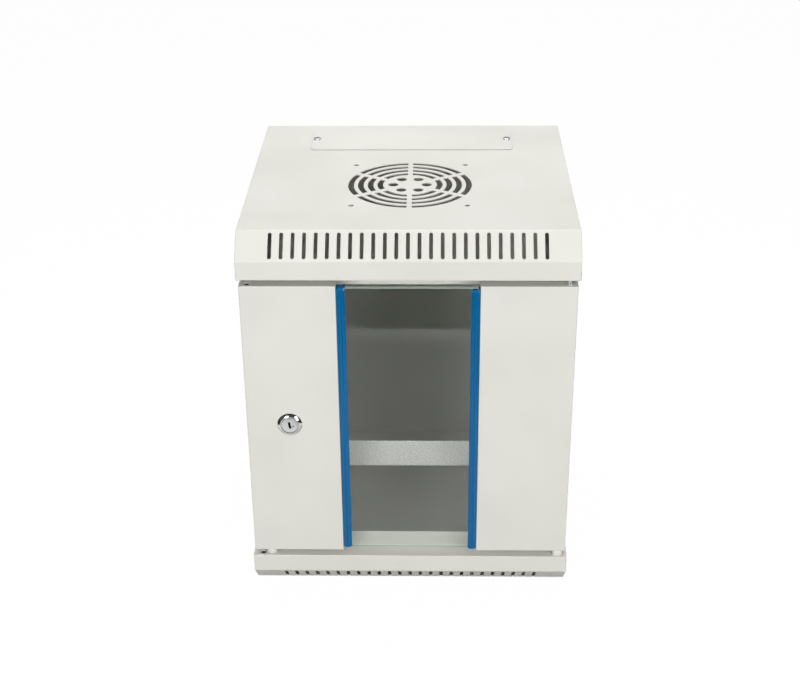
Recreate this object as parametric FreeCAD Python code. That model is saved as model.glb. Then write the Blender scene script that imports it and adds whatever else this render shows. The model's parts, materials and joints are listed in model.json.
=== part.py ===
import FreeCAD, Part
import math
import os

# Small 10-inch, 6-unit wall cabinet for network equipment, in millimetres.
# Frame: X to the right as seen from the front, Y to the rear, Z up. The origin is the centre of the
# underside. Left and right are as seen from the front. One STEP file is written per piece.

# Driving dimensions of the case
case_width = 300.0
case_depth = 300.0
case_height = 368.0
case_sheet = 1.0              # caps, side panels and back panel
cap_height = 39.0             # top cap and bottom cap, the same pressing turned over
bevel_depth = 20.4            # slanted front edge of each cap
bevel_height = 21.2
cap_fold = 0.5                # outside radius of the caps' folds
stop_setback = 20.0           # the door stop strip stands this far behind the front
top_stop = 12.6               # height of the strip in the top cap
bottom_stop = 15.9            # and in the bottom cap
cap_lap = 25.0                # side and back panels reach this far inside each cap
jamb_width = 15.0             # flanges of the side panels

# Louvre slots in the bevels
slot_count = 25
slot_pitch = 10.0
slot_width = 3.0
slot_length = 24.0

# Fan grille in the roof, for a 120 mm fan
fan_setback = 130.0           # fan centre behind the front
fan_screw_pitch = 105.0
fan_screw_hole = 5.0
grille_rings = [57.5, 48.4, 39.3, 30.3]      # outer radius of each ring of slots
ring_slot = 5.0
spoke_width = 4.8
grille_hole_circle = 15.6
grille_hole = 9.5

# Cable entries in roof and floor, and the plates that close them
entry_setback = 254.2         # centre of the entry behind the front
entry_width = 172.0
entry_depth = 36.0
cover_width = 200.0
cover_depth = 59.0
cover_sheet = 0.8
cover_corner = 4.5
cover_screw_half = 95.5
cover_screw_setback = 254.8
cover_screw_head = 1.7

# Ten-inch rack rails
rack_unit = 44.45
unit_count = 6
unit_holes = [6.35, 22.225, 38.1]            # heights of the three holes in one unit
first_unit = 53.2             # underside of the first unit
rack_hole_half = 236.525 / 2
rack_opening_half = 111.0
rack_hole = 9.5                # square, for cage nuts
rail_sheet = 1.5
rail_setback = 45.0
rail_return = 25.0
rail_outer = 129.0
bracket_height = 22.0
bracket_levels = [72.0, 300.0]
bracket_front = 28.0          # behind the front
bracket_rear = 290.0
rail_screw_setback = 58.0

# Support bar across the rails
bar_height = 28.0
bar_sheet = 1.5
bar_ledge = 36.0
bar_half = 127.0

# Door
door_half = 148.0
door_bottom = 45.4
door_top = 323.4
door_sheet = 1.0
door_fold = 16.0
window_half = 63.2            # inner edge of each steel door panel
seat_depth = 7.6              # front face to the lip that the glazing rests on
seat_width = 6.5
glass_sheet = 5.0
glass_setback = 0.8
glass_bottom = 49.2
glass_top = 321.7
trim_width = 7.7
trim_proud = 1.6
trim_crown = 4.0
trim_wall = 1.5
trim_length = 271.9
left_trim_bottom = 49.9
right_trim_bottom = 48.3

# Hinge and glide
pivot_half = 141.0
pivot_setback = 5.4
pin_radius = 2.75
pivot_clearance = 0.1
pin_travel = 6.0
glide_half = 132.5
glide_setback = 6.6

# Cam lock in the left door panel
lock_x = -108.9
lock_z = 184.6
lock_ring_radius = 11.4
lock_body_radius = 9.0
lock_flat_half = 8.0
lock_bezel_height = 3.0
lock_face_radius = 7.8        # the plug's head, seen inside the bezel
lock_plug_radius = 6.5
lock_head_depth = 2.4
lock_body_length = 22.0
keyway_tilt = 8.0

front = -case_depth / 2
rear = case_depth / 2
half = case_width / 2
inner_half = half - case_sheet               # outer face of the side panels
lap_bottom = cap_height - cap_lap
lap_top = case_height - lap_bottom
stop_front = front + stop_setback
pivot_y = front + pivot_setback


def vec(x, y, z):
    return FreeCAD.Vector(x, y, z)


def box(x0, x1, y0, y1, z0, z1):
    return Part.makeBox(x1 - x0, y1 - y0, z1 - z0, vec(x0, y0, z0))


def rod(radius, start, direction, length):
    return Part.makeCylinder(radius, length, start, direction)


def fused(pieces):
    return pieces[0].fuse(pieces[1:]).removeSplitter()


def mirror_x(shape):
    return shape.mirror(vec(0, 0, 0), vec(1, 0, 0))


def mirror_z(shape):
    """The same piece turned over about the cabinet's mid height."""
    return shape.mirror(vec(0, 0, case_height / 2), vec(0, 0, 1))


def prism(points, direction):
    """A straight prism on a closed outline of points."""
    wire = Part.makePolygon(points + [points[0]])
    return Part.Face(wire).extrude(direction)


def edges_where(shape, test):
    return [edge for edge in shape.Edges if test(edge.CenterOfMass, edge.BoundBox)]


def rounded_plate(half_x, half_y, radius, centre, thickness):
    """A plate with rounded corners lying on centre and rising along Z."""
    plate = box(-half_x, half_x, -half_y, half_y, 0, thickness)
    uprights = edges_where(plate, lambda c, b: b.ZLength > thickness / 2)
    plate = plate.makeFillet(radius, uprights)
    plate.translate(centre)
    return plate


def clipped_slot(half_x, half_y, centre, thickness):
    """A slot with clipped corners lying on centre and rising along Z."""
    clip = min(half_x, half_y) * (1 - math.tan(math.radians(22.5)))
    corners = []
    for sx, sy in ((1, 1), (-1, 1), (-1, -1), (1, -1)):
        along_x = vec(sx * (half_x - clip), sy * half_y, 0)
        along_y = vec(sx * half_x, sy * (half_y - clip), 0)
        corners += [along_y, along_x] if sx * sy > 0 else [along_x, along_y]
    return prism([centre + corner for corner in corners], vec(0, 0, thickness))


def shank(radius, start, length):
    """The hidden stretch of a screw or its hole along Z, eight-sided to keep the mesh light."""
    return clipped_slot(radius, radius, start, length)


def hexagon(across_flats, start, direction, height, bore):
    """A hexagon nut with its bore, standing on start along direction."""
    corner = across_flats / math.sqrt(3)
    points = [vec(corner * math.cos(math.radians(60 * i)), corner * math.sin(math.radians(60 * i)), 0)
              for i in range(6)]
    nut = prism(points, vec(0, 0, height)).cut(shank(bore, vec(0, 0, -1), height + 2))
    nut.Placement = FreeCAD.Placement(start, FreeCAD.Rotation(vec(0, 0, 1), direction))
    return nut


def pan_screw(head_radius, head_height, shank_radius, shank_length, seat, outward):
    """A pan head screw: the head's flat side lies on seat, the head points outward."""
    head = rod(head_radius, vec(0, 0, 0), vec(0, 0, 1), head_height)
    screw = fused([head, shank(shank_radius, vec(0, 0, -shank_length), shank_length)])
    screw.Placement = FreeCAD.Placement(seat, FreeCAD.Rotation(vec(0, 0, 1), outward))
    return screw


# ---- caps -------------------------------------------------------------------------------------

def cap_outline(bottom):
    """Side view of a cap: rear wall, roof, slanted bevel and upright front face."""
    return [
        vec(0, rear, bottom),
        vec(0, rear, case_height),
        vec(0, front + bevel_depth, case_height),
        vec(0, front, case_height - bevel_height),
        vec(0, front, bottom),
    ]


def cap_shell(stop_height):
    """The folded and corner-welded pan of a cap, without its openings."""
    pan = prism(cap_outline(case_height - cap_height), vec(case_width, 0, 0))
    pan.translate(vec(-half, 0, 0))
    bottom = case_height - cap_height
    folds = edges_where(pan, lambda c, b: c.z > bottom + 0.1)
    pan = pan.makeFillet(cap_fold, folds)
    inside = Part.makePolygon(cap_outline(bottom - 10) + [cap_outline(bottom - 10)[0]])
    inside = Part.Face(inside.makeOffset2D(-case_sheet)).extrude(vec(case_width - 2 * case_sheet, 0, 0))
    inside.translate(vec(-inner_half, 0, 0))
    pan = pan.cut(inside)
    ledge = box(-inner_half, inner_half, front + case_sheet / 2, stop_front, bottom, bottom + case_sheet)
    stop = box(-inner_half + case_sheet, inner_half - case_sheet, stop_front, stop_front + case_sheet,
               bottom - stop_height, bottom + case_sheet)
    ledge = fused([ledge, stop])
    return fused([pan, ledge])


def louvre_slots():
    """Slots punched square through the bevel, side by side."""
    angle = math.degrees(math.atan2(bevel_height, bevel_depth))
    centre = vec(0, front + bevel_depth / 2, case_height - bevel_height / 2)
    slots = []
    for i in range(slot_count):
        slot = clipped_slot(slot_width / 2, slot_length / 2, vec(0, 0, -4), 8)
        slot.rotate(vec(0, 0, 0), vec(1, 0, 0), angle)
        slot.translate(centre + vec((i - (slot_count - 1) / 2) * slot_pitch, 0, 0))
        slots.append(slot)
    return slots


def fan_grille():
    """Rings of curved slots cut through by spokes, six middle holes and the fan's screw holes."""
    centre = vec(0, front + fan_setback, case_height - 4)
    up = vec(0, 0, 1)
    spokes = []
    for i in range(3):
        spoke = box(-grille_rings[0] - 5, grille_rings[0] + 5, -spoke_width / 2, spoke_width / 2, 0, 8)
        spoke.rotate(vec(0, 0, 0), up, 30 + 60 * i)
        spoke.translate(centre)
        spokes.append(spoke)
    cutters = []
    for outer in grille_rings:
        ring = rod(outer, centre, up, 8).cut(rod(outer - ring_slot, centre, up, 8))
        cutters.append(ring.cut(spokes))
    for i in range(6):
        turn = math.radians(60 * i)
        offset = vec(math.cos(turn), math.sin(turn), 0) * grille_hole_circle
        cutters.append(rod(grille_hole / 2, centre + offset, up, 8))
    for sx in (-1, 1):
        for sy in (-1, 1):
            offset = vec(sx, sy, 0) * (fan_screw_pitch / 2)
            cutters.append(rod(fan_screw_hole / 2, centre + offset, up, 8))
    return cutters


def cable_entry():
    """The cable opening near the rear edge and the two tapped holes for its cover."""
    centre = vec(0, front + entry_setback, case_height - 4)
    cutters = [rounded_plate(entry_width / 2, entry_depth / 2, 6, centre, 8)]
    for side in (-1, 1):
        start = vec(side * cover_screw_half, front + cover_screw_setback, case_height - 4)
        cutters.append(shank(1.95, start, 8))
    return cutters


def hinge_holes():
    """One pivot hole near each end of the ledge, so that the door can hang on either side."""
    start = case_height - cap_height - 2
    return [rod(pin_radius + pivot_clearance, vec(side * pivot_half, pivot_y, start), vec(0, 0, 1), 5)
            for side in (-1, 1)]


def make_top_cap():
    return cap_shell(top_stop).cut(louvre_slots() + fan_grille() + cable_entry() + hinge_holes())


def make_bottom_cap():
    cap = cap_shell(bottom_stop).cut(louvre_slots() + cable_entry() + hinge_holes())
    return mirror_z(cap)


# ---- side and back panels ---------------------------------------------------------------------

def make_right_side_panel():
    """Side wall with a jamb flange behind the door and a rear flange for the back panel."""
    wall = box(inner_half - case_sheet, inner_half, stop_front, rear - 2 * case_sheet, lap_bottom, lap_top)
    jamb = box(inner_half - jamb_width, inner_half, stop_front, stop_front + case_sheet,
               cap_height + bottom_stop + 0.3, case_height - cap_height - top_stop - 0.3)
    back = box(inner_half - jamb_width, inner_half, rear - 3 * case_sheet, rear - 2 * case_sheet,
               lap_bottom, lap_top)
    return fused([wall, jamb, back])


def make_back_panel():
    """Back plate with two keyholes to hang it on and two round holes to lock it to the wall."""
    plate = box(-inner_half, inner_half, rear - 2 * case_sheet, rear - case_sheet, lap_bottom, lap_top)
    along = vec(0, 1, 0)
    cutters = []
    for side in (-1, 1):
        x = side * 110.0
        head = rod(6.5, vec(x, rear - 5, 296), along, 8)
        neck = box(x - 3.5, x + 3.5, rear - 5, rear, 296, 310)
        tip = rod(3.5, vec(x, rear - 5, 310), along, 8)
        cutters += [head.fuse([neck, tip]).removeSplitter(), rod(3.5, vec(x, rear - 5, 70), along, 8)]
    return plate.cut(cutters)


# ---- rack rails, brackets and support bar -----------------------------------------------------

def hole_levels():
    return [first_unit + unit * rack_unit + hole for unit in range(unit_count) for hole in unit_holes]


def make_right_rail():
    """Angle rail with the three-hole pattern of each rack unit in its front flange."""
    face = front + rail_setback
    low = first_unit - 2
    high = first_unit + unit_count * rack_unit + 2
    rail = fused([
        box(rack_opening_half, rail_outer, face, face + rail_sheet, low, high),
        box(rail_outer - rail_sheet, rail_outer, face, face + rail_return, low, high),
    ])
    fold = edges_where(rail, lambda c, b: b.ZLength > 10 and abs(c.x - rail_outer) < 0.01
                       and abs(c.y - face) < 0.01)
    rail = rail.makeFillet(rail_sheet, fold)
    side = rack_hole / 2
    cutters = [box(rack_hole_half - side, rack_hole_half + side, face - 2, face + 3, z - side, z + side)
               for z in hole_levels()]
    for z in bracket_levels:
        hole = shank(3.3, vec(0, 0, -4), 8)
        hole.rotate(vec(0, 0, 0), vec(0, 1, 0), 90)
        hole.translate(vec(rail_outer, front + rail_screw_setback, z))
        cutters.append(hole)
    return rail.cut(cutters)


def make_right_bracket(level):
    """Channel welded to the side wall, slotted so that the rail can be set forward or back."""
    low = level - bracket_height / 2
    high = level + bracket_height / 2
    y0 = front + bracket_front
    y1 = front + bracket_rear
    channel = box(rail_outer, inner_half - case_sheet, y0, y1, low, high)
    channel = channel.cut(box(rail_outer + case_sheet, half, y0 - 1, y1 + 1, low + case_sheet,
                              high - case_sheet))
    slots = []
    for i in range(4):
        slot = clipped_slot(3.4, 25, vec(0, 0, -4), 8)
        slot.rotate(vec(0, 0, 0), vec(0, 1, 0), 90)
        slot.translate(vec(rail_outer, y0 + 39 + 61.5 * i, level))
        slots.append(slot)
    return channel.cut(slots)


def rail_fixings():
    """Screws and nuts that hold the rails to the brackets, two on each side."""
    screws = []
    nuts = []
    for side in (-1, 1):
        outward = vec(-side, 0, 0)
        for z in bracket_levels:
            seat = vec(side * (rail_outer - rail_sheet), front + rail_screw_setback, z)
            screws.append(pan_screw(5.5, 3.8, 3.0, 11.0, seat, outward))
            nut_seat = vec(side * (rail_outer + case_sheet), front + rail_screw_setback, z)
            nuts.append(hexagon(10.0, nut_seat, vec(side, 0, 0), 5.0, 3.0))
    return Part.makeCompound(screws), Part.makeCompound(nuts)


def bar_levels():
    """The bar is bolted through the middle and upper holes of the second unit."""
    return [first_unit + rack_unit + unit_holes[1], first_unit + rack_unit + unit_holes[2]]


def make_support_bar():
    """Zinc-plated angle across the rails: an upright face with a ledge folded back under it."""
    middle = sum(bar_levels()) / 2
    low = middle - bar_height / 2
    high = middle + bar_height / 2
    face = front + rail_setback - bar_sheet
    bar = fused([
        box(-bar_half, bar_half, face, face + bar_sheet, low, high),
        box(-rack_opening_half + 1, rack_opening_half - 1, face, face + bar_ledge, low, low + bar_sheet),
    ])
    fold = edges_where(bar, lambda c, b: b.XLength > 100 and abs(c.y - face) < 0.01
                       and abs(c.z - low) < 0.01)
    bar = bar.makeFillet(bar_sheet * 0.9, fold)
    cutters = []
    for side in (-1, 1):
        for z in bar_levels():
            slot = clipped_slot(5.0, 3.3, vec(0, 0, -2), 5)
            slot.rotate(vec(0, 0, 0), vec(1, 0, 0), -90)
            slot.translate(vec(side * rack_hole_half, face, z))
            cutters.append(slot)
    return bar.cut(cutters)


def cage_nut(centre):
    """Square nut in its spring cage: the collar fills the rail's hole, the body lies behind it."""
    collar = rack_hole / 2 - 0.1
    body = box(-5.7, 5.7, rail_sheet, rail_sheet + 5.5, -5.7, 5.7)
    nut = fused([body, box(-collar, collar, 0, rail_sheet, -collar, collar)])
    bore = shank(3.0, vec(0, 0, -1), 10)
    bore.rotate(vec(0, 0, 0), vec(1, 0, 0), -90)
    nut = nut.cut(bore)
    nut.translate(centre)
    return nut


def bar_fixings():
    screws = []
    nuts = []
    face = front + rail_setback
    for side in (-1, 1):
        for z in bar_levels():
            seat = vec(side * rack_hole_half, face - bar_sheet, z)
            screws.append(pan_screw(5.7, 3.8, 3.0, 12.0, seat, vec(0, -1, 0)))
            nuts.append(cage_nut(vec(side * rack_hole_half, face, z)))
    return Part.makeCompound(screws), Part.makeCompound(nuts)


# ---- cable entry covers -----------------------------------------------------------------------

def make_entry_cover():
    """Flat plate over the cable opening, with a clearance hole at each end."""
    cover = rounded_plate(cover_width / 2, cover_depth / 2, cover_corner,
                          vec(0, front + entry_setback, case_height), cover_sheet)
    holes = [shank(2.2, vec(side * cover_screw_half, front + cover_screw_setback, case_height - 1), 4)
             for side in (-1, 1)]
    return cover.cut(holes)


def entry_cover_screws(seat_z, length):
    seats = [vec(side * cover_screw_half, front + cover_screw_setback, seat_z) for side in (-1, 1)]
    return Part.makeCompound([pan_screw(3.5, cover_screw_head, 1.95, length, seat, vec(0, 0, 1))
                              for seat in seats])


# ---- door -------------------------------------------------------------------------------------

def make_right_door_panel():
    """Folded steel panel: a shallow tray open to the rear, with a lip that the glazing rests on."""
    tray = box(window_half, door_half, front, front + door_fold, door_bottom, door_top)
    corners = edges_where(tray, lambda c, b: abs(c.y - front) < 0.01)
    tray = tray.makeFillet(0.9, corners)
    tray = tray.cut(box(window_half + door_sheet, door_half - door_sheet, front + door_sheet,
                        front + door_fold + 1, door_bottom + door_sheet, door_top - door_sheet))
    seat = front + seat_depth
    tray = tray.cut(box(window_half - 1, window_half + door_sheet, seat + door_sheet, front + door_fold + 1,
                        door_bottom + door_sheet, door_top - door_sheet))
    lip = box(window_half - seat_width, window_half + door_sheet, seat, seat + door_sheet,
              door_bottom + 4, door_top - 4)
    rear_lip = box(door_half - 9, door_half, front + door_fold - door_sheet, front + door_fold,
                   door_bottom, door_top)
    panel = fused([tray, lip, rear_lip])
    pivots = [rod(pin_radius + pivot_clearance, vec(pivot_half, pivot_y, z - 3), vec(0, 0, 1), 6)
              for z in (door_bottom, door_top)]
    return panel.cut(pivots)


def make_left_door_panel():
    """The right panel turned round, with the lock's double-D hole and the hole for the glide."""
    panel = mirror_x(make_right_door_panel())
    lock_hole = lock_barrel(front - 2, 5.0, 0.1)
    glide_hole = shank(2.0, vec(-glide_half, front + glide_setback, door_bottom - 1), 3)
    return panel.cut([lock_hole, glide_hole])


def make_glass():
    half_glass = window_half - 0.4 - trim_wall
    y0 = front + glass_setback
    pane = box(-half_glass, half_glass, y0, y0 + glass_sheet, glass_bottom, glass_top)
    rims = edges_where(pane, lambda c, b: b.XLength > 100)
    return pane.makeChamfer(0.4, rims)


def make_right_trim(bottom):
    """Plastic edging: a crowned outside face, and a groove that grips the edge of the glass."""
    outer = window_half - 0.3
    inner = outer - trim_width
    glass_front = front + glass_setback
    crest = front - trim_proud
    middle = (outer + inner) / 2
    section = [
        vec(inner, glass_front, bottom),
        vec(inner + 0.2, glass_front - 0.9, bottom),
        vec(middle - trim_crown / 2, crest, bottom),
        vec(middle + trim_crown / 2, crest, bottom),
        vec(outer - 0.2, glass_front - 0.9, bottom),
        vec(outer, glass_front, bottom),
        vec(outer, front + seat_depth, bottom),
        vec(inner + 1.5, front + seat_depth, bottom),
        vec(inner + 1.5, glass_front + glass_sheet, bottom),
        vec(outer - trim_wall, glass_front + glass_sheet, bottom),
        vec(outer - trim_wall, glass_front, bottom),
    ]
    trim = prism(section, vec(0, 0, trim_length))
    crown = edges_where(trim, lambda c, b: b.ZLength > 10 and c.y < glass_front - 0.5)
    return trim.makeFillet(0.6, crown)


def make_top_hinge_pin():
    """Sprung pin of the upper hinge, with a collar under the door's top flange and a finger bend."""
    low = door_top - 36.4
    up = vec(0, 0, 1)
    top = case_height - cap_height + 5
    shaft = rod(pin_radius, vec(pivot_half, pivot_y, low - 10), up, top - low + 10)
    tip = edges_where(shaft, lambda c, b: c.z > top - 0.1)
    shaft = shaft.makeChamfer(0.8, tip)
    finger = rod(pin_radius, vec(pivot_half + 10, pivot_y, low), vec(-1, 0, 0), 24)
    mitre = box(-30, 30, -10, 10, 0, 80)
    mitre.rotate(vec(0, 0, 0), vec(0, 1, 0), 45)
    mitre.translate(vec(pivot_half, pivot_y, low))
    collar = rod(4.4, vec(pivot_half, pivot_y, door_top - door_sheet - 2.6), up, 2.5)
    return fused([shaft.common(mitre), finger.cut(mitre), collar])


def make_hinge_bracket():
    """Small angle welded inside the door panel, which guides the lower part of the pin."""
    low = door_top - 29
    x1 = door_half - door_sheet
    y0 = front + door_sheet
    bracket = fused([
        box(x1 - 13, x1, y0, y0 + 12, low, low + 1.5),
        box(x1 - 1.2, x1, y0, y0 + 12, low, low + 14),
    ])
    hole = rod(pin_radius + pivot_clearance, vec(pivot_half, pivot_y, low - 1), vec(0, 0, 1), 4)
    return bracket.cut(hole)


def make_pin_spring():
    """Square-wire compression spring between the bracket and the pin's collar."""
    wire_size = 0.8
    low = door_top - 29 + 1.5
    high = door_top - door_sheet - 2.6
    turns = 4
    rise = high - low - wire_size - 0.2
    coil_radius = 3.6
    steps = 10                # straight pieces in one turn
    corner = wire_size / 2
    points = []
    for i in range(turns * steps + 1):
        turn = 2 * math.pi * i / steps
        points.append(vec(coil_radius * math.cos(turn), coil_radius * math.sin(turn),
                          rise * i / (turns * steps)))
    square = Part.makePolygon([vec(coil_radius - corner, 0, -corner), vec(coil_radius + corner, 0, -corner),
                               vec(coil_radius + corner, 0, corner), vec(coil_radius - corner, 0, corner),
                               vec(coil_radius - corner, 0, -corner)])
    coil = Part.makePolygon(points).makePipeShell([square], True, False, 1)
    coil.translate(vec(pivot_half, pivot_y, low + corner + 0.05))
    return coil


def make_bottom_hinge_pin():
    """Fixed pin riveted through the bottom cap's ledge."""
    up = vec(0, 0, 1)
    pin = rod(pin_radius, vec(pivot_half, pivot_y, cap_height - case_sheet - 1.5), up, 16.0)
    head = rod(4.0, vec(pivot_half, pivot_y, cap_height - case_sheet - 1.5), up, 1.5)
    return fused([pin, head])


def make_hinge_spacer():
    up = vec(0, 0, 1)
    height = door_bottom - cap_height - 0.1
    ring = rod(5.1, vec(pivot_half, pivot_y, cap_height), up, height)
    return ring.cut(rod(pin_radius, vec(pivot_half, pivot_y, cap_height - 1), up, height + 2))


def make_door_glide():
    """Nylon button snapped into the door's bottom flange, which carries the free end when closed."""
    up = vec(0, 0, 1)
    base = cap_height + 0.3
    button = rod(5.1, vec(-glide_half, front + glide_setback, base), up, door_bottom - base)
    rim = edges_where(button, lambda c, b: b.XLength > 9 and c.z < base + 0.1)
    button = button.makeChamfer(0.8, rim)
    stem = shank(2.0, vec(-glide_half, front + glide_setback, door_bottom), 4.2)
    return fused([button, stem])


# ---- lock -------------------------------------------------------------------------------------

def lock_barrel(start_y, length, extra):
    """The lock's round barrel with its two flats."""
    along = vec(0, 1, 0)
    barrel = rod(lock_body_radius + extra, vec(lock_x, start_y, lock_z), along, length)
    flats = box(lock_x - 20, lock_x + 20, start_y, start_y + length, lock_z - lock_flat_half - extra,
                lock_z + lock_flat_half + extra)
    return barrel.common(flats)


def make_lock_housing():
    """Die-cast housing: bevelled bezel in front of the door, barrel through it, bored for the plug."""
    along = vec(0, 1, 0)
    face = front - lock_bezel_height
    bezel = rod(lock_ring_radius, vec(lock_x, face, lock_z), along, lock_bezel_height)
    outer_rim = edges_where(bezel, lambda c, b: c.y < face + 0.1)
    bezel = bezel.makeChamfer(lock_bezel_height - 0.2, outer_rim)
    body = fused([bezel, lock_barrel(front, lock_body_length, 0.0)])
    bore = rod(lock_plug_radius + 0.05, vec(lock_x, face - 1, lock_z), along, lock_body_length + 8)
    seat = rod(lock_face_radius + 0.05, vec(lock_x, face - 1, lock_z), along, 1 + lock_head_depth)
    return body.cut([bore, seat])


def make_lock_nut():
    nut = hexagon(22.0, vec(lock_x, front + door_sheet, lock_z), vec(0, 1, 0), 4.0, lock_body_radius)
    return nut


def make_lock_plug():
    """Rotating plug: a wide head with the keyway, a stem, and a square tail that drives the cam."""
    along = vec(0, 1, 0)
    face = front - lock_bezel_height + 0.2
    head_back = front - lock_bezel_height + lock_head_depth
    tail = front + lock_body_length
    head = rod(lock_face_radius, vec(lock_x, face, lock_z), along, head_back - face)
    rim = edges_where(head, lambda c, b: c.y < face + 0.1)
    head = head.makeChamfer(0.3, rim)
    stem = rod(lock_plug_radius, vec(lock_x, head_back, lock_z), along, tail - head_back)
    square = box(lock_x - 3.5, lock_x + 3.5, tail, tail + 2.0, lock_z - 3.5, lock_z + 3.5)
    plug = fused([head, stem, square])
    keyway = fused([
        box(lock_x - 0.8, lock_x + 0.8, face - 1, face + 9, lock_z - 3.6, lock_z + 3.6),
        box(lock_x - 0.1, lock_x + 1.7, face - 1, face + 9, lock_z - 1.2, lock_z + 0.2),
    ])
    keyway.rotate(vec(lock_x, 0, lock_z), vec(0, 1, 0), -keyway_tilt)
    bore = shank(2.0, vec(0, 0, 0), 12)
    bore.rotate(vec(0, 0, 0), vec(1, 0, 0), -90)
    bore.translate(vec(lock_x, tail - 8, lock_z))
    return plug.cut([keyway, bore])


def make_lock_cam():
    """Steel cam, hanging down while the door is free. Turned to the left it passes behind the jamb."""
    y0 = front + lock_body_length
    y1 = y0 + 2.0
    reach = 34.0
    arm = fused([
        rod(8.5, vec(lock_x, y0, lock_z), vec(0, 1, 0), 2.0),
        box(lock_x - 7.5, lock_x + 7.5, y0, y1, lock_z - reach + 4, lock_z),
    ])
    nose = rounded_plate(7.5, 4.0, 3.5, vec(0, 0, 0), 2.0)
    nose.rotate(vec(0, 0, 0), vec(1, 0, 0), -90)
    nose.translate(vec(lock_x, y0, lock_z - reach + 4))
    square = box(lock_x - 3.5, lock_x + 3.5, y0 - 1, y1 + 1, lock_z - 3.5, lock_z + 3.5)
    return fused([arm, nose]).cut(square)


def make_cam_screw():
    seat = vec(lock_x, front + lock_body_length + 2.0, lock_z)
    screw = pan_screw(5.0, 2.8, 2.0, 7.0, seat, vec(0, 1, 0))
    return screw


# ---- earth point ------------------------------------------------------------------------------

def earth_point():
    """Welded stud on the floor near the left wall, with its nut."""
    place = vec(-122, 100, case_sheet)
    stud = rod(3.0, place, vec(0, 0, 1), 15)
    nut = hexagon(10.0, place + vec(0, 0, 1.5), vec(0, 0, 1), 5.0, 3.0)
    return stud, nut


def collect():
    right_door = make_right_door_panel()
    parts = {
        "top_cap": make_top_cap(),
        "bottom_cap": make_bottom_cap(),
        "right_side_panel": make_right_side_panel(),
        "left_side_panel": mirror_x(make_right_side_panel()),
        "back_panel": make_back_panel(),
        "right_rack_rail": make_right_rail(),
        "left_rack_rail": mirror_x(make_right_rail()),
        "support_bar": make_support_bar(),
        "top_entry_cover": make_entry_cover(),
        "top_cover_screws": entry_cover_screws(case_height + cover_sheet, 7.0),
        "door_right_panel": right_door,
        "door_left_panel": make_left_door_panel(),
        "door_glass": make_glass(),
        "right_glass_trim": make_right_trim(right_trim_bottom),
        "left_glass_trim": mirror_x(make_right_trim(left_trim_bottom)),
        "top_hinge_pin": make_top_hinge_pin(),
        "hinge_pin_bracket": make_hinge_bracket(),
        "hinge_pin_spring": make_pin_spring(),
        "bottom_hinge_pin": make_bottom_hinge_pin(),
        "hinge_spacer": make_hinge_spacer(),
        "door_glide": make_door_glide(),
        "lock_housing": make_lock_housing(),
        "lock_nut": make_lock_nut(),
        "lock_plug": make_lock_plug(),
        "lock_cam": make_lock_cam(),
        "lock_cam_screw": make_cam_screw(),
    }
    inside_floor = make_entry_cover()
    inside_floor.translate(vec(0, 0, case_sheet - case_height))
    parts["bottom_entry_cover"] = inside_floor
    floor_stack = case_sheet + cover_sheet
    parts["bottom_cover_screws"] = entry_cover_screws(floor_stack, floor_stack - 0.1)
    for name, level in zip(("lower", "upper"), bracket_levels):
        bracket = make_right_bracket(level)
        parts["right_" + name + "_bracket"] = bracket
        parts["left_" + name + "_bracket"] = mirror_x(bracket)
    parts["rail_screws"], parts["rail_nuts"] = rail_fixings()
    parts["bar_screws"], parts["bar_nuts"] = bar_fixings()
    parts["earth_stud"], parts["earth_nut"] = earth_point()
    return parts


os.makedirs("parts", exist_ok=True)
for name, shape in collect().items():
    if not shape.isValid():
        print("not valid:", name)
    shape.exportStep("parts/" + name + ".step")
    print(name, len(shape.Solids), "solids", round(shape.Volume / 1000, 2), "cm3")
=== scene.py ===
import json
import math

import bmesh
import bpy
from bmesh.types import BMEdge, BMFace, BMVert
from mathutils import Matrix, Vector


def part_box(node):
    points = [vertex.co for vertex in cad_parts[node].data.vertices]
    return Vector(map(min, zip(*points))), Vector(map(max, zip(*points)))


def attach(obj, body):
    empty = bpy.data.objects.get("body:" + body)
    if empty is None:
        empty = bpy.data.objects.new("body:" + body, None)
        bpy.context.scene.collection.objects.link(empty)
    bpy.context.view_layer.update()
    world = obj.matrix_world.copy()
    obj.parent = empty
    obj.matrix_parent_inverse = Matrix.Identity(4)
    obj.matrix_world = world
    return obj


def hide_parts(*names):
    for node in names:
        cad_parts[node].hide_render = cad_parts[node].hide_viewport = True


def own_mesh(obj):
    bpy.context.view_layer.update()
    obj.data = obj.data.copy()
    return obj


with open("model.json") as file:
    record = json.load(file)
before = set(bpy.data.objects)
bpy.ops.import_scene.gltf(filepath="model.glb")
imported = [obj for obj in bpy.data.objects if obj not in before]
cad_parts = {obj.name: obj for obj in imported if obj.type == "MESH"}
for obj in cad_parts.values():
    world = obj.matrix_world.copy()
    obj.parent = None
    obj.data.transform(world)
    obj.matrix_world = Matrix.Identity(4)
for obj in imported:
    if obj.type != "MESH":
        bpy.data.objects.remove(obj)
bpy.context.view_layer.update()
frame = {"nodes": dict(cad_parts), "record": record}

mm = 0.001
same = 1e-6                       # corners closer than this, in metres, count as one
nodes = frame["nodes"]


# helpers for materials and pieces

def hexColour(text):  # sRGB hex to linear RGBA
    parts = [int(text[i:i + 2], 16) / 255 for i in (0, 2, 4)]
    return [p / 12.92 if p <= 0.04045 else ((p + 0.055) / 1.055) ** 2.4 for p in parts] + [1.0]


def addNode(material, kind, sockets=None, **settings):
    # sockets: name or index of an input -> its value, or the node or output that feeds it
    node = material.node_tree.nodes.new("ShaderNode" + kind)
    for name, value in settings.items():
        setattr(node, name, value)
    for key, value in (sockets or {}).items():
        if isinstance(value, bpy.types.Node):
            value = value.outputs[0]
        if isinstance(value, bpy.types.NodeSocket):
            material.node_tree.links.new(value, node.inputs[key])
        else:
            node.inputs[key].default_value = value
    return node


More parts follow.
